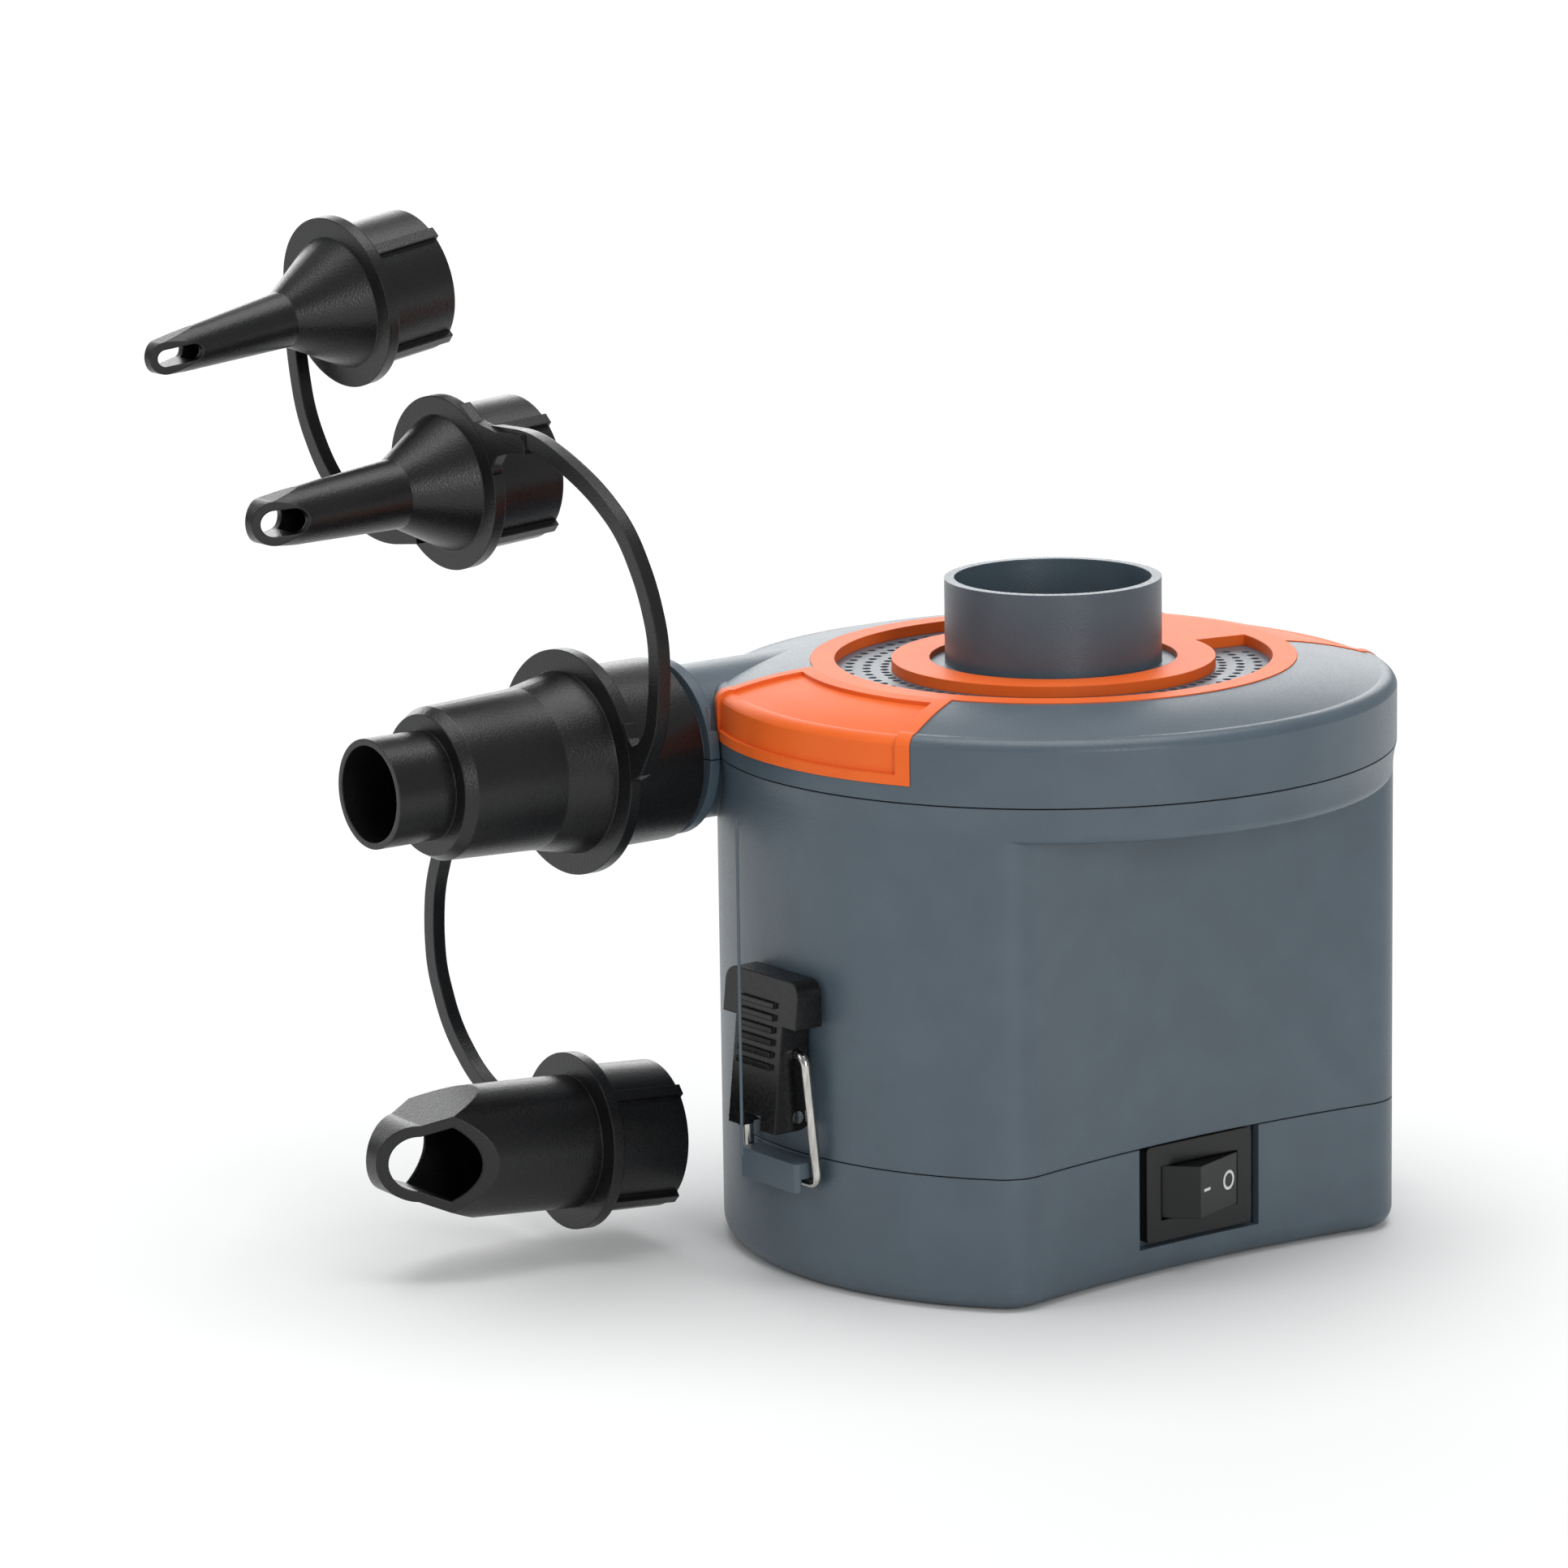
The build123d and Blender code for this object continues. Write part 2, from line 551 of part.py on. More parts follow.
with BuildPart() as latch_lever:
    with BuildSketch(Plane.XZ):
        with BuildLine():
            Polyline(
                (LEVER_BACK_X, LEVER_LOW_Z),
                (lever_front(LEVER_LOW_Z), LEVER_LOW_Z),
                (lever_front(LEVER_NECK_Z + 1), LEVER_NECK_Z + 1),
                (LEVER_BACK_X, LEVER_NECK_Z + 1),
                close=True,
            )
        make_face()
    extrude(amount=LEVER_HALF, both=True)
    fillet(
        latch_lever.edges().filter_by(Axis.Y).group_by(Axis.Z)[0].sort_by(Axis.X)[-1],
        2.0,
    )
    with BuildSketch(Plane.XZ):
        with BuildLine():
            Polyline(
                (LEVER_BACK_X, LEVER_NECK_Z),
                (lever_front(LEVER_NECK_Z), LEVER_NECK_Z),
                (lever_front(LEVER_HIGH_Z), LEVER_HIGH_Z),
                (LEVER_BACK_X, LEVER_HIGH_Z),
                close=True,
            )
        make_face()
    extrude(amount=LEVER_HEAD_HALF, both=True)
    top_corners = latch_lever.edges().filter_by(
        lambda e: e.center().Z > LEVER_HIGH_Z - 0.1 and abs(e.center().Y) > LEVER_HEAD_HALF - 0.1
    )
    fillet(top_corners, 2.4)
    # finger ribs
    for rib in range(6):
        rib_z = 35.0 + 1.9 * rib
        with BuildSketch(Plane.XY.offset(rib_z)):
            with Locations((lever_front(rib_z) + 0.6, 0.3)):
                Rectangle(1.1, 8.4, align=(Align.MAX, Align.CENTER))
        extrude(amount=0.9)
    # hollow back, open below, for the lug on the housing
    with BuildSketch(Plane.XZ):
        with Locations((LEVER_BACK_X, LEVER_LOW_Z)):
            Rectangle(4.7, 14.7, align=(Align.MAX, Align.MIN))
    extrude(amount=3.5, both=True, mode=Mode.SUBTRACT)
    with BuildSketch(Plane.XZ):
        with Locations((LEVER_FRONT_LOW_X, LEVER_LOW_Z)):
            Rectangle(6.0, 4.4, align=(Align.CENTER, Align.CENTER))
    extrude(amount=2.2, both=True, mode=Mode.SUBTRACT)
    with BuildSketch(Plane.XZ):
        with Locations(LEVER_PIVOT):
            Circle(LATCH_PIN_R + FIT)
        with Locations(BAIL_PIVOT):
            Circle(BAIL_WIRE_R + FIT)
    extrude(amount=REACH, both=True, mode=Mode.SUBTRACT)
save(latch_lever.part, "latch_lever")

with BuildPart() as latch_pin:
    with BuildSketch(Plane.XZ):
        with Locations(LEVER_PIVOT):
            Circle(LATCH_PIN_R)
    extrude(amount=LEVER_HALF + 0.1, both=True)
save(latch_pin.part, "latch_pin")

bail_dx = BAIL_BAR[0] - BAIL_PIVOT[0]
bail_dz = BAIL_BAR[1] - BAIL_PIVOT[1]
bail_length = hypot(bail_dx, bail_dz)
bail_plane = Plane(
    origin=(BAIL_PIVOT[0], 0, BAIL_PIVOT[1]),
    x_dir=(0, 1, 0),
    z_dir=Vector(0, 1, 0).cross(Vector(bail_dx, 0, bail_dz)),
)
with BuildPart() as latch_bail:
    with BuildLine(bail_plane) as bail_path:
        FilletPolyline(
            (3.7, 0),
            (7.8, 0),
            (8.7, bail_length),
            (-8.7, bail_length),
            (-7.8, 0),
            (-3.7, 0),
            radius=1.6,
        )
    with BuildSketch(Plane(origin=bail_path.line @ 0, z_dir=bail_path.line % 0)):
        Circle(BAIL_WIRE_R)
    sweep(path=bail_path.line)
save(latch_bail.part, "latch_bail")

# ---- rocker switch -----------------------------------------------------------
switch_plane = Plane.XZ.offset(-SWITCH_FACE_Y)
with BuildPart() as switch_frame:
    with BuildSketch(switch_plane.offset(-2.0)):
        with Locations((0, SWITCH_Z)):
            RectangleRounded(*BEZEL, 0.8)
    extrude(amount=2.0)
    with BuildSketch(switch_plane.offset(-15.0)):
        with Locations((0, SWITCH_Z)):
            Rectangle(18.8, 13.0)
    extrude(amount=13.0)
    with BuildSketch(switch_plane.offset(-11.0)):
        with Locations((0, SWITCH_Z)):
            Rectangle(*WINDOW)
    extrude(amount=11.0, mode=Mode.SUBTRACT)
    with BuildSketch(Plane.XY.offset(SWITCH_Z - 5.4)):
        with Locations((0, ROCKER_AXIS_Y)):
            Circle(1.2 + FIT)
    extrude(amount=10.8, mode=Mode.SUBTRACT)
save(switch_frame.part, "switch_frame")

with BuildPart() as switch_rocker:
    with BuildSketch(Plane.XY.offset(SWITCH_Z - WINDOW[1] / 2 + 0.15)):
        with BuildLine():
            Polyline(
                (-7.3, -33.9),
                (-2.7, -38.5),
                (7.3, -35.3),
                (7.1, -33.4),
                (2.4, -30.4),
                (-2.4, -30.4),
                close=True,
            )
        make_face()
    extrude(amount=WINDOW[1] - 0.3)
    with BuildSketch(Plane.XY.offset(SWITCH_Z - 5.3)):
        with Locations((0, ROCKER_AXIS_Y)):
            Circle(1.2)
    extrude(amount=10.6)
save(switch_rocker.part, "switch_rocker")

# printed marks on the long face of the rocker: a bar for on, a ring for off
mark_plane = Plane(
    origin=(-2.7, -38.5, SWITCH_Z),
    x_dir=(7.3 + 2.7, -35.3 + 38.5, 0),
    z_dir=Vector(7.3 + 2.7, -35.3 + 38.5, 0).cross(Vector(0, 0, 1)),
)
with BuildPart() as rocker_marks:
    with BuildSketch(mark_plane):
        with Locations((1.9, 0.1)):
            Rectangle(1.7, 0.45)
        with Locations((8.1, 0.2)):
            Circle(1.55)
            Circle(1.1, mode=Mode.SUBTRACT)
    extrude(amount=0.05)
save(rocker_marks.part, "rocker_marks")

with BuildPart() as switch_terminals:
    with BuildSketch(switch_plane.offset(-15.0)):
        with Locations((-5.0, SWITCH_Z), (5.0, SWITCH_Z)):
            Rectangle(0.8, 4.8)
    extrude(amount=-6.0)
save(switch_terminals.part, "switch_terminals")

# ---- battery carrier, cells and contacts ---------------------------------------
CELL_SPOTS = [(-CELL_X, -CELL_Y), (CELL_X, -CELL_Y), (CELL_X, CELL_Y), (-CELL_X, CELL_Y)]
CELL_NAMES = ("front_left", "front_right", "back_right", "back_left")

with BuildPart() as battery_carrier:
    with BuildSketch(Plane.XY.offset(CARRIER_Z)):
        with Locations(*CELL_SPOTS):
            Circle(CELL_R + CELL_SLACK + 1.0)
        add(body_plan(WALL + CELL_SLACK), mode=Mode.INTERSECT)
        with Locations(*CELL_SPOTS):
            Circle(CELL_R + CELL_SLACK, mode=Mode.SUBTRACT)
        Circle(MOTOR_R + 0.3, mode=Mode.SUBTRACT)
    extrude(amount=CARRIER_PLATE_Z - CARRIER_Z)
    with BuildSketch(Plane.XY.offset(CARRIER_PLATE_Z)):
        add(body_plan(WALL + CELL_SLACK))
        Circle(MOTOR_R + 0.3, mode=Mode.SUBTRACT)
        with Locations(*CARRIER_SCREW_SPOTS):
            Circle(SCREW_R, mode=Mode.SUBTRACT)
    extrude(amount=CARRIER_PLATE_T)
    with BuildSketch(spout_plane.offset(-SPOUT_START_X - 1.0)):
        Circle(SPOUT_R + 0.3)
    extrude(amount=REACH, mode=Mode.SUBTRACT)
    with BuildSketch(Plane.XY.offset(CARRIER_PLATE_Z - CONTACT_T)):
        with Locations((0, -CELL_Y), (0, CELL_Y)):
            Rectangle(2 * CELL_X + 9.4, 8.4)
    extrude(amount=CONTACT_T, mode=Mode.SUBTRACT)
save(battery_carrier.part, "battery_carrier")

for index, (name, spot) in enumerate(zip(CELL_NAMES, CELL_SPOTS)):
    upright = index % 2 == 0
    can_z = CELL_Z if upright else CELL_Z + 1.5
    button_z = CELL_TOP - 1.5 if upright else CELL_Z
    with BuildPart() as battery_cell:
        with BuildSketch(Plane.XY.offset(can_z)):
            with Locations(spot):
                Circle(CELL_R)
        extrude(amount=CELL_H - 1.5)
        fillet(battery_cell.edges(), 0.8)
        with BuildSketch(Plane.XY.offset(button_z)):
            with Locations(spot):
                Circle(4.75)
        extrude(amount=1.5)
    save(battery_cell.part, f"battery_cell_{name}")

with BuildPart() as top_contacts:
    with BuildSketch(Plane.XY.offset(CARRIER_PLATE_Z - CONTACT_T)):
        with Locations((0, -CELL_Y), (0, CELL_Y)):
            Rectangle(2 * CELL_X + 9.0, 8.0)
        Circle(MOTOR_R + 0.5, mode=Mode.SUBTRACT)
        with Locations(*CARRIER_SCREW_SPOTS):
            Circle(3.4, mode=Mode.SUBTRACT)
    extrude(amount=CONTACT_T)
save(top_contacts.part, "top_contacts")

with BuildPart() as base_contacts:
    with BuildSketch(Plane.XY.offset(BASE_FLOOR)):
        with Locations((-CELL_X, 0), (CELL_X, 0)):
            Rectangle(9.0, 2 * CELL_Y + 9.0)
    extrude(amount=CONTACT_T)
save(base_contacts.part, "base_contacts")

SPRING_WIRE_R = 0.3
with BuildPart() as contact_springs:
    for spot in CELL_SPOTS:
        spring_z = BASE_FLOOR + CONTACT_T + SPRING_WIRE_R
        with BuildLine() as coil:
            Helix(
                pitch=0.65,
                height=1.3,
                radius=4.0,
                center=(spot[0], spot[1], spring_z),
            )
        with BuildSketch(Plane(origin=coil.line @ 0, z_dir=coil.line % 0)):
            Circle(SPRING_WIRE_R)
        sweep(path=coil.line, is_frenet=True)
save(contact_springs.part, "contact_springs")

# ---- motor and fan -------------------------------------------------------------
MOTOR_Z = DECK_Z - MOTOR_LEN
with BuildPart() as motor_can:
    with BuildSketch(Plane.XY.offset(MOTOR_Z)):
        Circle(MOTOR_R)
    extrude(amount=MOTOR_LEN)
    with BuildSketch(Plane.XY.offset(MOTOR_Z)):
        Circle(MOTOR_R - 1.0)
    extrude(amount=MOTOR_LEN - 1.2, mode=Mode.SUBTRACT)
    with BuildSketch(Plane.XY.offset(DECK_Z)):
        Circle(5.0)
    extrude(amount=1.4)
    with BuildSketch(Plane.XY.offset(MOTOR_Z)):
        Circle(SHAFT_R + FIT)
        with Locations(*MOTOR_SCREW_SPOTS):
            Circle(SCREW_R)
    extrude(amount=REACH, mode=Mode.SUBTRACT)
save(motor_can.part, "motor_can")

with BuildPart() as motor_end_cap:
    with BuildSketch(Plane.XY.offset(MOTOR_Z)):
        Circle(MOTOR_R - 1.0)
        Circle(SHAFT_R + FIT, mode=Mode.SUBTRACT)
    extrude(amount=3.0)
save(motor_end_cap.part, "motor_end_cap")

with BuildPart() as motor_magnets:
    with BuildSketch(Plane.XY.offset(MOTOR_Z + 7.0)):
        Circle(MOTOR_R - 1.0)
        Circle(MOTOR_R - 3.0, mode=Mode.SUBTRACT)
        Rectangle(REACH, 8.0, mode=Mode.SUBTRACT)
    extrude(amount=MOTOR_LEN - 12.0)
save(motor_magnets.part, "motor_magnets")

with BuildPart() as motor_armature:
    with BuildSketch(Plane.XY.offset(MOTOR_Z + 8.0)):
        Circle(MOTOR_R - 3.5)
        Circle(SHAFT_R, mode=Mode.SUBTRACT)
        for slot in range(3):
            with Locations(Location((0, 0, 0), (0, 0, 120 * slot))):
                with Locations((MOTOR_R - 5.0, 0)):
                    Rectangle(7.0, 2.0, mode=Mode.SUBTRACT)
    extrude(amount=MOTOR_LEN - 14.0)
save(motor_armature.part, "motor_armature")

with BuildPart() as motor_shaft:
    with BuildSketch(Plane.XY.offset(MOTOR_Z - 1.5)):
        Circle(SHAFT_R)
    extrude(amount=82.4 - MOTOR_Z + 1.5)
save(motor_shaft.part, "motor_shaft")

BLADES = 9
with BuildPart() as impeller:
    with BuildSketch(Plane.XY.offset(DECK_TOP + 1.2)):
        Circle(IMPELLER_R)
    extrude(amount=1.2)
    with BuildSketch(Plane.XY.offset(DECK_TOP + 1.2)):
        Circle(5.0)
    extrude(amount=6.0)
    for blade in range(BLADES):
        turn = 360.0 / BLADES * blade
        with BuildSketch(Plane.XY.offset(DECK_TOP + 2.4)):
            with BuildLine():
                blade_points = []
                for radius, lag in ((8.5, 0), (14.0, -14), (19.0, -24), (IMPELLER_R - 0.3, -33)):
                    angle = radians(turn + lag)
                    blade_points.append((radius * cos(angle), radius * sin(angle)))
                Spline(*blade_points)
            trace(line_width=1.1)
        extrude(amount=5.2)
    with BuildSketch(Plane.XY.offset(DECK_TOP)):
        Circle(SHAFT_R)
    extrude(amount=REACH, mode=Mode.SUBTRACT)
save(impeller.part, "impeller")

# ---- fasteners --------------------------------------------------------------------
with BuildPart() as lid_screws:
    for spot in LID_SCREW_SPOTS:
        with Locations((*spot, SHELF_Z)):
            Cone(
                SCREW_HEAD_R,
                SCREW_R,
                SCREW_HEAD_R - SCREW_R,
                align=(Align.CENTER, Align.CENTER, Align.MIN),
            )
        with BuildSketch(Plane.XY.offset(SHELF_Z)):
            with Locations(spot):
                Circle(SCREW_R)
        extrude(amount=10.0)
save(lid_screws.part, "lid_screws")

with BuildPart() as motor_screws:
    for spot in MOTOR_SCREW_SPOTS:
        with BuildSketch(Plane.XY.offset(DECK_TOP - 0.9)):
            with Locations(spot):
                Circle(2.2)
        extrude(amount=0.8)
        with BuildSketch(Plane.XY.offset(DECK_Z - 2.0)):
            with Locations(spot):
                Circle(SCREW_R)
        extrude(amount=2.0 + DECK_T - 0.9)
save(motor_screws.part, "motor_screws")

with BuildPart() as carrier_screws:
    for spot in CARRIER_SCREW_SPOTS:
        with BuildSketch(Plane.XY.offset(CARRIER_PLATE_Z - 1.4)):
            with Locations(spot):
                Circle(2.3)
        extrude(amount=1.4)
        with BuildSketch(Plane.XY.offset(CARRIER_PLATE_Z)):
            with Locations(spot):
                Circle(SCREW_R)
        extrude(amount=7.0)
save(carrier_screws.part, "carrier_screws")

# ---- leads from the switch to the motor ----------------------------------------
LEAD_R = 0.7
for name, side in (("lead_red", -1), ("lead_black", 1)):
    with BuildPart() as lead:
        with BuildLine() as lead_path:
            smooth_path([
                (side * 5.0, -13.8, SWITCH_Z),
                (side * 5.0, -8.0, SWITCH_Z + 1.5),
                (side * 5.2, -2.5, SWITCH_Z + 7.0),
                (side * 6.0, 0.0, SWITCH_Z + 15.0),
                (side * 6.0, 0.4, MOTOR_Z - 0.1),
            ])
        with BuildSketch(Plane(origin=lead_path.line @ 0, z_dir=lead_path.line % 0)):
            Circle(LEAD_R)
        sweep(path=lead_path.line)
    save(lead.part, name)

# ---- nozzle set: adapter on the spout, three nozzles on tethers ------------------
# Profiles are drawn with the axis along Z, flange face at zero, tip upwards.
SLEEVE_LEN = 16.2
TIP_R = 8.5
with BuildPart() as adapter_form:
    with BuildSketch(Plane.XZ):
        with BuildLine():
            Polyline(
                (SPOUT_R + FIT, -SLEEVE_LEN),
                (14.3, -SLEEVE_LEN),
                (14.3, -FLANGE_T),
                (17.6, -FLANGE_T),
                (17.6, 0),
                (14.3, 0),
                (12.6, 8.0),
                (11.9, 24.2),
                (10.9, 26.0),
                (TIP_R, 26.0),
                (TIP_R, 36.2),
                (7.5, 36.2),
                (7.5, 24.8),
                (10.6, 22.6),
                (11.3, 8.0),
                (SPOUT_R + FIT, -1.5),
                close=True,
            )
        make_face()
    revolve(axis=Axis.Z)


def nozzle_frame(centre_y, centre_z, swing, dip):
    """Plane at a nozzle's flange face, its normal running out to the tip."""
    swing_rad = radians(swing)
    dip_rad = radians(dip)
    forward = Vector(
        -cos(dip_rad) * cos(swing_rad),
        -cos(dip_rad) * sin(swing_rad),
        -sin(dip_rad),
    )
    return Plane(origin=(NOZZLE_X, centre_y, centre_z), x_dir=(0, 0, 1), z_dir=forward)


outlet_adapter = adapter_form.part.moved(nozzle_frame(SPOUT_Y, LID_SEAM_Z, 0, 0).location)

SOCKET_R = 11.6
SOCKET_IN_R = 10.3
SOCKET_LEN = 13.0
NOZZLE_WALL = 1.2


def tip_outline(start, wide, half, end):
    """A flattened tip seen from the side: it narrows past start to a round end."""
    with BuildSketch(Plane.XZ) as outline:
        with BuildLine():
            Polyline(
                (half, end - half),
                (wide, start),
                (REACH, start),
                (REACH, -REACH),
                (-REACH, -REACH),
                (-REACH, start),
                (-wide, start),
                (-half, end - half),
            )
            ThreePointArc((-half, end - half), (0, end), (half, end - half))
        make_face()
    return outline.sketch


def nozzle_shell(profile, narrowing, tip_half, bevel, tip_thickness):
    """A nozzle without its bore: flange, ribbed socket behind, cone and tube.
    The tip narrows to a round end between two slanting faces."""
    length = profile[-1][1]
    thin = tip_thickness / 2
    with BuildPart() as shell:
        with BuildSketch(Plane.XZ):
            with BuildLine():
                Polyline(
                    (0, -FLANGE_T - SOCKET_LEN),
                    (SOCKET_R, -FLANGE_T - SOCKET_LEN),
                    (SOCKET_R, -FLANGE_T),
                    (NOZZLE_FLANGE_R, -FLANGE_T),
                    (NOZZLE_FLANGE_R, 0),
                    *profile,
                    (0, length),
                    close=True,
                )
            make_face()
        revolve(axis=Axis.Z)
        with BuildSketch(Plane.XY.offset(-FLANGE_T)):
            with PolarLocations(SOCKET_R, 4, start_angle=45):
                Rectangle(1.8, 1.8)
        extrude(amount=-SOCKET_LEN)
        with BuildSketch(Plane.XZ):
            add(tip_outline(narrowing[1], narrowing[0], tip_half, length))
        extrude(amount=REACH, both=True, mode=Mode.INTERSECT)
        with BuildSketch(Plane.YZ):
            with BuildLine():
                Polyline(
                    (thin, length),
                    bevel,
                    (REACH, bevel[1]),
                    (REACH, -REACH),
                    (-REACH, -REACH),
                    (-REACH, bevel[1]),
                    (-bevel[0], bevel[1]),
                    (-thin, length),
                    close=True,
                )
            make_face()
        extrude(amount=REACH, both=True, mode=Mode.INTERSECT)
    return shell.part


def nozzle_bore(profile):
    """The room inside a nozzle: its socket, then the bore of the cone and tube."""
    with BuildPart() as bore:
        with BuildSketch(Plane.XZ):
            with BuildLine():
                Polyline(
                    (0, -FLANGE_T - SOCKET_LEN),
                    (SOCKET_IN_R, -FLANGE_T - SOCKET_LEN),
                    (SOCKET_IN_R, -FLANGE_T),
                    *[(r - NOZZLE_WALL, z - 0.4) for r, z in profile],
                    (0, profile[-1][1] - 0.4),
                    close=True,
                )
            make_face()
        revolve(axis=Axis.Z)
    return bore.part


def tip_slot(start, end, height):
    """The slot through a flattened tip, open on both slanting faces."""
    with BuildPart() as slot:
        with BuildSketch(Plane.XZ):
            with Locations((0, (start + end) / 2)):
                SlotOverall(end - start, height, rotation=90)
        extrude(amount=20.0, both=True)
    return slot.part


medium_form = nozzle_shell([(10.9, 0), (5.5, 9.7), (3.99, 37.0)], (4.5, 27.8), 3.5, (4.46, 28.4), 1.8)
medium_form = medium_form - nozzle_bore([(10.9, 0), (5.5, 9.7), (4.4, 30.6)]) - tip_slot(28.6, 35.7, 4.1)

fine_form = nozzle_shell([(10.75, 0), (4.5, 10.9), (2.89, 37.2)], (3.5, 27.6), 2.6, (3.42, 28.5), 1.6)
fine_form = fine_form - nozzle_bore([(10.75, 0), (4.5, 10.9), (3.35, 30.4)]) - tip_slot(28.8, 36.0, 2.7)

slant_form = nozzle_shell([(10.5, 0), (10.3, 20.0), (10.2, 35.4)], (10.45, 17.0), 6.0, (10.3, 18.5), 3.2)
with BuildPart() as slant_window:
    add(nozzle_bore([(10.5, 0), (10.3, 20.0), (10.2, 37.0)]))
    with BuildSketch(Plane.XZ):
        add(tip_outline(17.0, 8.75, 4.3, 33.7))
    extrude(amount=REACH, both=True, mode=Mode.INTERSECT)
slant_form = slant_form - slant_window.part

nozzle_medium = medium_form.moved(nozzle_frame(*MEDIUM_POSE).location)
nozzle_fine = fine_form.moved(nozzle_frame(*FINE_POSE).location)
nozzle_slant = slant_form.moved(nozzle_frame(*SLANT_POSE).location)


def tether(points):
    """A flat moulded strap along a run of (X, Y, Z) points."""
    with BuildPart() as strap:
        with BuildLine() as run:
            smooth_path(points)
        start = Plane(origin=run.line @ 0, x_dir=(1, 0, 0), z_dir=run.line % 0)
        with BuildSketch(start):
            Rectangle(STRAP_T, STRAP_W)
        sweep(path=run.line)
    return strap.part


def web(plane, outline):
    """A flat gusset that fills the corner between a strap and a flange."""
    with BuildPart() as gusset:
        with BuildSketch(plane):
            with BuildLine():
                Polyline(*outline, close=True)
            make_face()
        extrude(amount=-FLANGE_T)
    return gusset.part


STRAP_X = NOZZLE_X + STRAP_T / 2
tether_upper = tether([
    (STRAP_X, 19.0, 80.0), (STRAP_X, 14.6, 81.6), (STRAP_X, 11.6, 86.5), (STRAP_X, 10.5, 94.0),
    (STRAP_X, 10.6, 101.0), (STRAP_X, 13.3, 108.5), (STRAP_X, 18.6, 116.5),
    (STRAP_X, 26.4, 121.8), (STRAP_X, 34.8, 125.4), (STRAP_X + 0.6, 43.5, 127.6),
    (STRAP_X + 1.0, 54.0, 127.2),
])
adapter_web = web(
    Plane(origin=(NOZZLE_X, 0, 0), x_dir=(0, 1, 0), z_dir=(-1, 0, 0)),
    [(21.0, -77.5), (17.6, -77.6), (14.5, -79.3), (11.6, -84.0), (13.0, -86.5),
     (15.0, -84.2), (16.5, -83.6), (17.6, -84.6), (18.6, -86.8), (21.5, -86.0)],
)
medium_web = web(
    nozzle_frame(*MEDIUM_POSE),
    [(13.4, -6.3), (10.9, -9.6), (9.9, -15.2), (10.2, -21.6), (7.2, -22.5),
     (6.7, -17.4), (6.1, -15.2), (4.2, -13.6), (2.3, -13.6), (0.0, -8.0), (8.0, -4.0)],
)
tether_top = tether([
    (STRAP_X - 3.0, 105.4, 141.0), (STRAP_X - 2.6, 105.3, 133.6), (STRAP_X - 2.4, 103.6, 125.0),
    (STRAP_X - 2.1, 98.6, 116.6), (STRAP_X - 2.0, 90.0, 110.0), (STRAP_X - 1.8, 81.5, 107.8),
    (STRAP_X - 1.4, 72.5, 109.0),
])
tether_lower = tether([
    (STRAP_X, 50.5, 76.0), (STRAP_X, 61.5, 70.5), (STRAP_X, 70.0, 60.0), (STRAP_X, 73.3, 51.6),
    (STRAP_X, 73.9, 44.8), (STRAP_X, 73.4, 38.3), (STRAP_X + 0.3, 70.0, 29.4),
    (STRAP_X + 0.5, 62.5, 21.8), (STRAP_X + 0.8, 48.5, 17.0),
])


def between(strap, first, second):
    """A strap cut back to the two mouldings it joins, its buried ends dropped."""
    cut = strap - first - second
    return cut.solids().sort_by(SortBy.VOLUME)[-1]


tether_upper = between(tether_upper + adapter_web + medium_web, outlet_adapter, nozzle_medium)
tether_top = between(tether_top, nozzle_fine, nozzle_medium)
tether_lower = between(tether_lower, outlet_adapter, nozzle_slant)

save(outlet_adapter, "outlet_adapter")
save(nozzle_medium, "nozzle_medium")
save(nozzle_fine, "nozzle_fine")
save(nozzle_slant, "nozzle_slant")
save(tether_upper, "tether_upper")
save(tether_top, "tether_top")
save(tether_lower, "tether_lower")
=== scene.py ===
import math
import bmesh
import bpy
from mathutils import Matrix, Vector


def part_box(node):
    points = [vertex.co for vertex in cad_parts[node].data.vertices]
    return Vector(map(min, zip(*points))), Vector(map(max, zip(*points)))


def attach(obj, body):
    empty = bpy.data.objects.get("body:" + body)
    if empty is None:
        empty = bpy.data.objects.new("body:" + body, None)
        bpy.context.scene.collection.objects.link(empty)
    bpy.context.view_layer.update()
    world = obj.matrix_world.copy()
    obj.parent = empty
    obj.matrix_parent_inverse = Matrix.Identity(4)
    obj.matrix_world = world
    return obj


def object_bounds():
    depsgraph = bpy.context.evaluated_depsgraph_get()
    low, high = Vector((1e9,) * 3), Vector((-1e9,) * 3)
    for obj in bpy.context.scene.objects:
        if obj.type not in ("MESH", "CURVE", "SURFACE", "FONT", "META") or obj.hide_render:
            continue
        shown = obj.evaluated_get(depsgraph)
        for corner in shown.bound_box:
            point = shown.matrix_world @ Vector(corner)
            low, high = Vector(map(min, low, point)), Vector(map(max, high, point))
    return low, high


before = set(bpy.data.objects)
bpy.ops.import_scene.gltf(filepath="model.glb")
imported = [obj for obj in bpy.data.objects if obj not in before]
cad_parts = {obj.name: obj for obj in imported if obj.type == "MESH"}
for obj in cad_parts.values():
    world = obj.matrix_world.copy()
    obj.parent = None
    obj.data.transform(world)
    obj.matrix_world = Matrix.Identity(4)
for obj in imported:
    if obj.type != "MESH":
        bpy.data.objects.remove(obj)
cad_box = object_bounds()

# ---- Table, camera and studio light -------------------------------------------
# The pump stands on a plain pale table. It is lit by a wide soft panel overhead, one
# in front on the right that draws the highlights, one at the left and one behind.


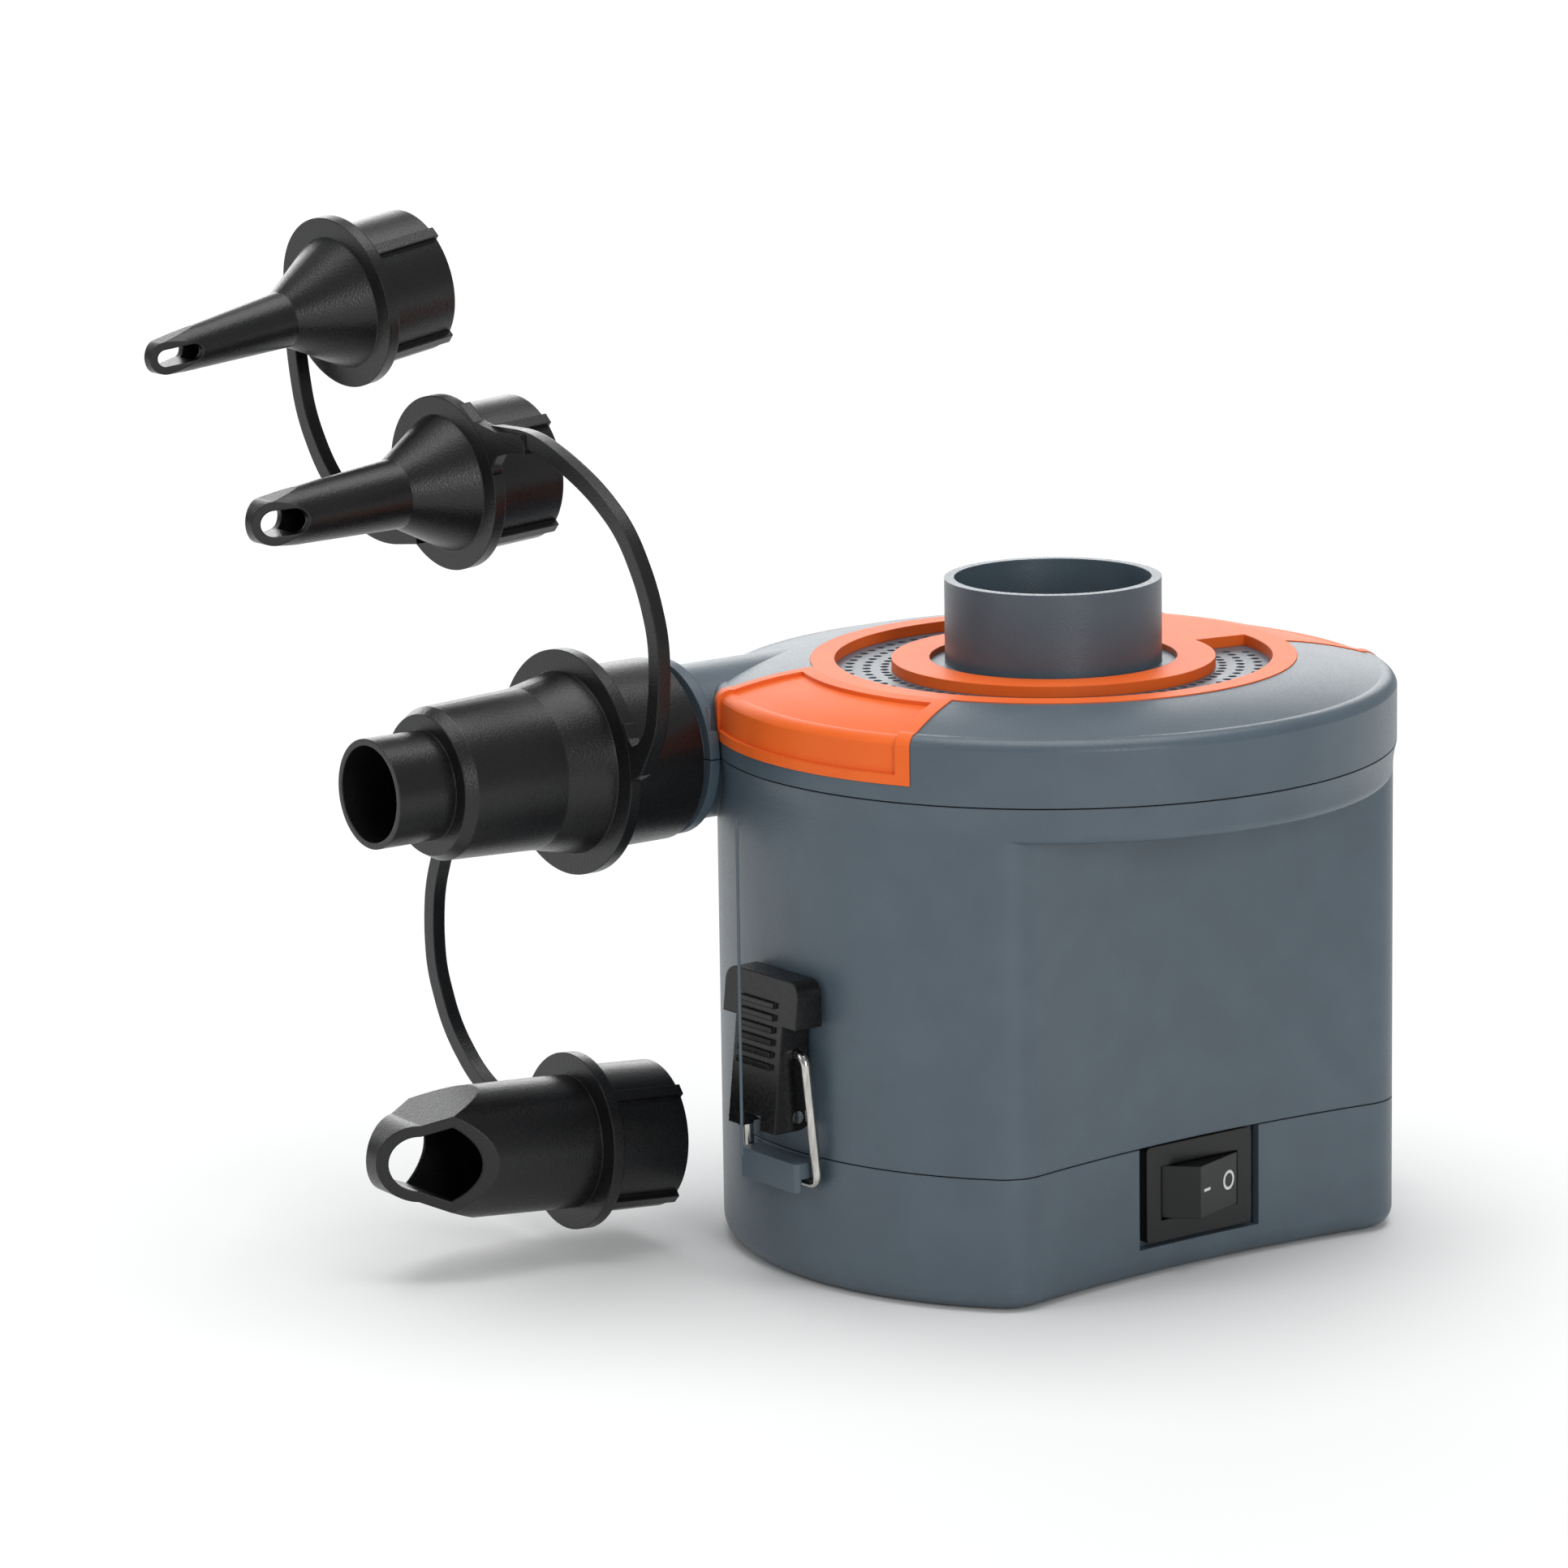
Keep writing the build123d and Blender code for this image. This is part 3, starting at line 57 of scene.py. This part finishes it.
def linear(hex_colour):
    """sRGB hex to the linear colour that a shader socket takes."""
    channels = [int(hex_colour[i:i + 2], 16) / 255 for i in (1, 3, 5)]
    straight = [c / 12.92 if c <= 0.04045 else ((c + 0.055) / 1.055) ** 2.4 for c in channels]
    return (*straight, 1.0)


def add(tree, kind, settings=None, links=None):
    """Adds one node, sets its properties and sockets, and links its inputs."""
    node = tree.nodes.new(kind)
    for name, value in (settings or {}).items():
        if isinstance(name, str) and hasattr(node, name):
            setattr(node, name, value)
        else:
            node.inputs[name].default_value = value
    for name, source in (links or {}).items():
        tree.links.new(source, node.inputs[name])
    return node


TABLE_HALF = 12.0               # metres, so that no edge of the table shows
TABLE_DROP = 0.0002             # metres, a hair under the base so that the two never share a face

scene = bpy.context.scene
scene.view_settings.view_transform = "Standard"

camera_data = bpy.data.cameras.new("studio_camera")
camera_data.sensor_width = 36.0
camera_data.lens = 159.456
camera_data.clip_start = 0.05
camera_data.clip_end = 60.0
camera = bpy.data.objects.new("studio_camera", camera_data)
camera.location = (-0.668977, -0.829224, 0.298068)
camera.rotation_euler = (math.radians(77.9812), math.radians(0.8617), math.radians(-36.8001))
scene.collection.objects.link(camera)
scene.camera = camera

table_mesh = bpy.data.meshes.new("table_top")
table_shape = bmesh.new()
bmesh.ops.create_grid(table_shape, x_segments=4, y_segments=4, size=TABLE_HALF)
table_shape.to_mesh(table_mesh)
table_shape.free()
table_top = bpy.data.objects.new("table_top", table_mesh)
table_top.location = (0.0, 0.0, cad_box[0].z - TABLE_DROP)
scene.collection.objects.link(table_top)

# matt white laminate, sprayed and unpolished: pale all over, with no reflection
laminate = bpy.data.materials.new("matt_laminate")
laminate.use_nodes = True
tree = laminate.node_tree
surface = tree.nodes["Principled BSDF"]
surface.inputs["Base Color"].default_value = linear("#f2f2f1")
surface.inputs["Roughness"].default_value = 0.9
surface.inputs["Specular IOR Level"].default_value = 0.1
table_mesh.materials.append(laminate)

studio = bpy.data.worlds.new("studio")
studio.use_nodes = True
studio.node_tree.nodes["Background"].inputs["Color"].default_value = linear("#f7f9fc")
studio.node_tree.nodes["Background"].inputs["Strength"].default_value = 0.42
scene.world = studio

# place, aim, size and watts of each soft panel, in metres
PANELS = {
    "panel_overhead": ((0.1, 0.1, 1.7), (0.0, 0.0, 0.05), (1.5, 1.5), 21.0),
    "panel_left": ((-1.6, 0.3, 0.9), (0.0, 0.0, 0.08), (0.5, 1.0), 3.5),
    "panel_front": ((-0.42, -1.5, 0.52), (0.0, 0.0, 0.08), (0.34, 0.7), 7.0),
    "panel_back": ((0.9, 2.3, 0.75), (0.0, 0.0, 0.1), (3.2, 1.1), 34.0),
}
for name, (place, aim, size, power) in PANELS.items():
    panel_data = bpy.data.lights.new(name, "AREA")
    panel_data.shape = "RECTANGLE"
    panel_data.size, panel_data.size_y = size
    panel_data.energy = power
    panel = bpy.data.objects.new(name, panel_data)
    panel.location = place
    panel.rotation_euler = (Vector(aim) - Vector(place)).to_track_quat("-Z", "Y").to_euler()
    panel.visible_camera = False
    scene.collection.objects.link(panel)

# ---- Battery base and housing -------------------------------------------------
# Two thin shells moulded in blue-grey ABS. The tool is spark-eroded, which leaves a
# fine even grain. The base closes the housing from below along one level seam.

MM = 0.001
CLOUD = 9.0                     # mm, the slow drift of tone across a moulding
MOULD_LINE_Y = -6.8             # mm, where the tool's halves meet on the round side
MOULD_LINE_FOOT = 20.0          # mm above the housing's lowest point
MOULD_LINE_STEPS = 24
# the line's section in mm: how far into the wall, and how far to each side
MOULD_LINE_SECTION = ((0.4, -0.14), (-0.05, -0.05), (-0.05, 0.05), (0.4, 0.14))


def grained(name, dark, light, grain, depth, roughness, specular=0.5, edge=0.25):
    """A moulded plastic with a spark-eroded grain: grain and depth in mm."""
    made = bpy.data.materials.new(name)
    made.use_nodes = True
    tree = made.node_tree
    place = add(tree, "ShaderNodeTexCoord").outputs["Object"]
    clouds = add(tree, "ShaderNodeTexNoise", {"Scale": 1 / (CLOUD * MM), "Detail": 3.0}, {"Vector": place})
    fine = {"Scale": 1 / (grain * MM), "Detail": 2.0, "Roughness": 0.6}
    pits = add(tree, "ShaderNodeTexNoise", fine, {"Vector": place})
    tone = add(tree, "ShaderNodeValToRGB", {}, {"Fac": clouds.outputs["Fac"]})
    tone.color_ramp.elements[0].position = 0.3
    tone.color_ramp.elements[0].color = linear(dark)
    tone.color_ramp.elements[1].position = 0.7
    tone.color_ramp.elements[1].color = linear(light)
    spread = {"From Min": 0.3, "From Max": 0.7, "To Min": roughness - 0.05, "To Max": roughness + 0.07}
    gloss = add(tree, "ShaderNodeMapRange", spread, {"Value": pits.outputs["Fac"]})
    rounded = add(tree, "ShaderNodeBevel", {"samples": 4, "Radius": edge * MM})
    heights = {"Height": pits.outputs["Fac"], "Normal": rounded.outputs["Normal"]}
    relief = add(tree, "ShaderNodeBump", {"Strength": 0.6, "Distance": depth * MM}, heights)
    surface = tree.nodes["Principled BSDF"]
    surface.inputs["Specular IOR Level"].default_value = specular
    surface.inputs["IOR"].default_value = 1.53
    tree.links.new(tone.outputs["Color"], surface.inputs["Base Color"])
    tree.links.new(gloss.outputs["Result"], surface.inputs["Roughness"])
    tree.links.new(relief.outputs["Normal"], surface.inputs["Normal"])
    return made


def dress(material, *names):
    """Gives CAD nodes their finish through their objects' material slots."""
    for name in names:
        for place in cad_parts[name].material_slots:
            place.material = material


# ABS, moulded in a spark-eroded tool: a soft sheen broken by grain, no mirror image
body_abs = grained("moulded_grey_abs", "#47545e", "#4c5a64", 0.34, 0.06, 0.38)
dress(body_abs, "base", "housing")

# the two halves of the tool leave one fine upright line on the housing's round side
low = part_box("housing")[0].z + MOULD_LINE_FOOT * MM
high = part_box("lid")[0].z
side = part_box("housing")[0].x
line_shape = bmesh.new()
rings = []
for step in range(MOULD_LINE_STEPS + 1):
    level = low + (high - low) * step / MOULD_LINE_STEPS
    corners = [(side + depth * MM, (MOULD_LINE_Y + across) * MM, level) for depth, across in MOULD_LINE_SECTION]
    rings.append([line_shape.verts.new(corner) for corner in corners])
for lower, upper in zip(rings, rings[1:]):
    for here, there in ((0, 1), (1, 2), (2, 3), (3, 0)):
        line_shape.faces.new((lower[here], lower[there], upper[there], upper[here]))
line_shape.faces.new(rings[0][::-1])
line_shape.faces.new(rings[-1])
bmesh.ops.recalc_face_normals(line_shape, faces=line_shape.faces)
line_mesh = bpy.data.meshes.new("housing_mould_line")
line_shape.to_mesh(line_mesh)
line_shape.free()
line_mesh.materials.append(body_abs)
mould_line = bpy.data.objects.new("housing_mould_line", line_mesh)
scene.collection.objects.link(mould_line)
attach(mould_line, "pump_body")

# ---- Cells and their contacts -------------------------------------------------
# Four D cells stand in the housing, in plain plastic sleeves over steel cans. Brass
# strips join them above and below, and plated steel coils press them upwards.

CELL_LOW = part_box("battery_cell_front_left")[0].z
CELL_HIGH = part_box("battery_cell_front_left")[1].z

# shrink sleeve over a drawn can: glossy dark film with bright steel at both ends
sleeve = bpy.data.materials.new("sleeved_steel_can")
sleeve.use_nodes = True
tree = sleeve.node_tree
place = add(tree, "ShaderNodeTexCoord").outputs["Object"]
height = add(tree, "ShaderNodeSeparateXYZ", {}, {"Vector": place}).outputs["Z"]
level = add(tree, "ShaderNodeMapRange", {"From Min": CELL_LOW, "From Max": CELL_HIGH}, {"Value": height})
bands = add(tree, "ShaderNodeValToRGB", {}, {"Fac": level.outputs["Result"]})
bands.color_ramp.interpolation = "CONSTANT"
for position, colour in ((0.0, "#b9bbbd"), (0.02, "#24282c"), (0.74, "#b5762c"), (0.955, "#c3c4c5")):
    stop = bands.color_ramp.elements[0] if position == 0.0 else bands.color_ramp.elements.new(position)
    stop.position = position
    stop.color = linear(colour)
bands.color_ramp.elements.remove(bands.color_ramp.elements[-1])
bare = add(tree, "ShaderNodeValToRGB", {}, {"Fac": level.outputs["Result"]})
bare.color_ramp.interpolation = "CONSTANT"
for position, shade in ((0.0, 1.0), (0.02, 0.0), (0.955, 1.0)):
    stop = bare.color_ramp.elements[0] if position == 0.0 else bare.color_ramp.elements.new(position)
    stop.position = position
    stop.color = (shade, shade, shade, 1.0)
bare.color_ramp.elements.remove(bare.color_ramp.elements[-1])
drawn = add(tree, "ShaderNodeTexNoise", {"Scale": 1 / (0.6 * MM), "Detail": 2.0}, {"Vector": place})
draw_lines = {"Strength": 0.2, "Distance": 0.02 * MM}
relief = add(tree, "ShaderNodeBump", draw_lines, {"Height": drawn.outputs["Fac"]})
surface = tree.nodes["Principled BSDF"]
surface.inputs["Roughness"].default_value = 0.28
tree.links.new(bands.outputs["Color"], surface.inputs["Base Color"])
tree.links.new(bare.outputs["Color"], surface.inputs["Metallic"])
tree.links.new(relief.outputs["Normal"], surface.inputs["Normal"])
dress(
    sleeve,
    "battery_cell_front_left",
    "battery_cell_front_right",
    "battery_cell_back_right",
    "battery_cell_back_left",
)


def worked_metal(name, dark, light, run, streak, roughness):
    """A drawn, stamped or plated metal: streaks of this width in mm, along an axis."""
    made = bpy.data.materials.new(name)
    made.use_nodes = True
    tree = made.node_tree
    place = add(tree, "ShaderNodeTexCoord").outputs["Object"]
    stretch = [1.0, 1.0, 1.0]
    stretch[run] = 0.06
    along = add(tree, "ShaderNodeMapping", {"Scale": stretch}, {"Vector": place})
    drawn = {"Scale": 1 / (streak * MM), "Detail": 3.0}
    streaks = add(tree, "ShaderNodeTexNoise", drawn, {"Vector": along.outputs["Vector"]})
    tone = add(tree, "ShaderNodeValToRGB", {}, {"Fac": streaks.outputs["Fac"]})
    tone.color_ramp.elements[0].position = 0.32
    tone.color_ramp.elements[0].color = linear(dark)
    tone.color_ramp.elements[1].position = 0.68
    tone.color_ramp.elements[1].color = linear(light)
    spread = {"From Min": 0.3, "From Max": 0.7, "To Min": roughness * 0.8, "To Max": roughness * 1.25}
    gloss = add(tree, "ShaderNodeMapRange", spread, {"Value": streaks.outputs["Fac"]})
    scratches = {"Strength": 0.25, "Distance": 0.01 * MM}
    relief = add(tree, "ShaderNodeBump", scratches, {"Height": streaks.outputs["Fac"]})
    surface = tree.nodes["Principled BSDF"]
    surface.inputs["Metallic"].default_value = 1.0
    tree.links.new(tone.outputs["Color"], surface.inputs["Base Color"])
    tree.links.new(gloss.outputs["Result"], surface.inputs["Roughness"])
    tree.links.new(relief.outputs["Normal"], surface.inputs["Normal"])
    return made


# rolled and stamped brass: warm, with faint rolling lines
brass = worked_metal("stamped_brass", "#b08d4a", "#d0b06a", 0, 0.25, 0.3)
dress(brass, "top_contacts", "base_contacts", "switch_terminals")
# tin-plated spring wire: bright but not mirror-like
spring_wire = worked_metal("tinned_spring_wire", "#a9abac", "#cfd0d0", 2, 0.15, 0.25)
dress(spring_wire, "contact_springs")

# ---- Carrier, motor and leads -------------------------------------------------
# A black ABS carrier holds the cells off the motor, which hangs from the fan deck. The
# motor is a plated steel can with ferrite magnets and a wound rotor on a steel shaft.

# ABS as moulded in a plain tool, unseen in use: smoother, darker, slightly glossy
inner_abs = grained("moulded_black_abs", "#1f2224", "#26292b", 0.5, 0.02, 0.35)
dress(inner_abs, "battery_carrier", "motor_end_cap", "fan_deck", "chamber_cover")
# deep-drawn steel can, zinc-plated: draw lines along its length
can_steel = worked_metal("drawn_plated_steel", "#8f9294", "#b6b8b9", 2, 0.5, 0.32)
dress(can_steel, "motor_can")
# ground and polished shaft steel
ground_steel = worked_metal("ground_steel", "#a4a6a8", "#c9cbcc", 0, 0.12, 0.18)
dress(ground_steel, "motor_shaft", "hinge_pin", "latch_pin")
# enamelled copper windings: fine turns, warm brown-red and lightly glossy
windings = worked_metal("enamelled_copper_windings", "#6d3417", "#a1582c", 2, 0.22, 0.35)
dress(windings, "motor_armature")
# sintered ferrite: dark, dense and matt
ferrite = grained("sintered_ferrite", "#232426", "#2d2e30", 0.2, 0.03, 0.7)
dress(ferrite, "motor_magnets")

# extruded PVC insulation: smooth and waxy
red_pvc = grained("red_pvc_sleeve", "#8f1712", "#a81e17", 0.6, 0.01, 0.38)
dress(red_pvc, "lead_red")
black_pvc = grained("black_pvc_sleeve", "#141414", "#1c1c1c", 0.6, 0.01, 0.38)
dress(black_pvc, "lead_black")

# ---- Fan ----------------------------------------------------------------------
# A one-piece centrifugal impeller in natural glass-filled nylon, pressed on the shaft.
# It turns in a spiral chamber between the fan deck and its cover.

# nylon with glass: off-white with a faintly fibrous, satin skin
nylon = grained("moulded_natural_nylon", "#a9aaa4", "#bdbeb8", 0.4, 0.03, 0.42)
dress(nylon, "impeller")

# ---- Lid, grille and trim -----------------------------------------------------
# The lid is the housing's ABS, with the spout and the collar in one piece. The grille is
# a pierced disc under it, and the orange trim snaps into a recess around the collar.

dress(body_abs, "lid", "intake_grille")

# ABS coloured throughout and moulded in a finely textured tool: a satin bright orange
orange_abs = grained("moulded_orange_abs", "#ea6420", "#ee6a24", 0.28, 0.03, 0.48, specular=0.25)
dress(orange_abs, "trim_ring")

# countersunk and pan-head screws: zinc-plated, with a slightly milky shine
zinc = worked_metal("zinc_plated_steel", "#a2a5a6", "#c4c6c6", 2, 0.3, 0.3)
dress(zinc, "lid_screws", "motor_screws", "carrier_screws")

# ---- Latch --------------------------------------------------------------------
# An over-centre catch holds the base shut: a glossy black lever pinned to the housing
# pulls a bent wire bail up under the keeper on the base.

# polished-tool ABS, handled: glossy black with crisp edge lights
lever_abs = grained("polished_black_abs", "#0b0b0c", "#0f0f10", 0.7, 0.012, 0.24, specular=0.34, edge=0.35)
dress(lever_abs, "latch_lever")
# nickel-plated round wire: near-mirror, streaked along its length
nickel = worked_metal("nickel_plated_wire", "#a3a19c", "#cfcdc8", 2, 0.2, 0.16)
dress(nickel, "latch_bail")

# ---- Rocker switch ------------------------------------------------------------
# A standard black nylon rocker in a flanged frame, snapped into the base of the housing.

# nylon 6 in a lightly blasted tool: dark, even and half-matt
switch_nylon = grained(
    "blasted_black_nylon", "#0d0e0f", "#131415", 0.25, 0.02, 0.34, specular=0.4, edge=0.3
)
dress(switch_nylon, "switch_frame", "switch_rocker")
# pad-printed ink: flat, chalky white, a little uneven where it meets the grain
pad_ink = grained("pad_printed_white_ink", "#d9dad8", "#e4e5e3", 0.12, 0.01, 0.6, specular=0.3, edge=0.02)
dress(pad_ink, "rocker_marks")

# ---- Nozzle set ---------------------------------------------------------------
# The adapter, three nozzles and their straps are one soft black LDPE moulding. The
# adapter pushes over the spout, and the nozzles push over the adapter's tip.

# low-density polyethylene: dark, waxy and soft-edged, with a sparkling fine grain
ldpe = grained("moulded_black_ldpe", "#0d0d0e", "#111112", 0.34, 0.075, 0.31, specular=0.4, edge=0.35)
dress(ldpe, "outlet_adapter", "nozzle_medium", "nozzle_fine", "nozzle_slant")
dress(ldpe, "tether_upper", "tether_top", "tether_lower")
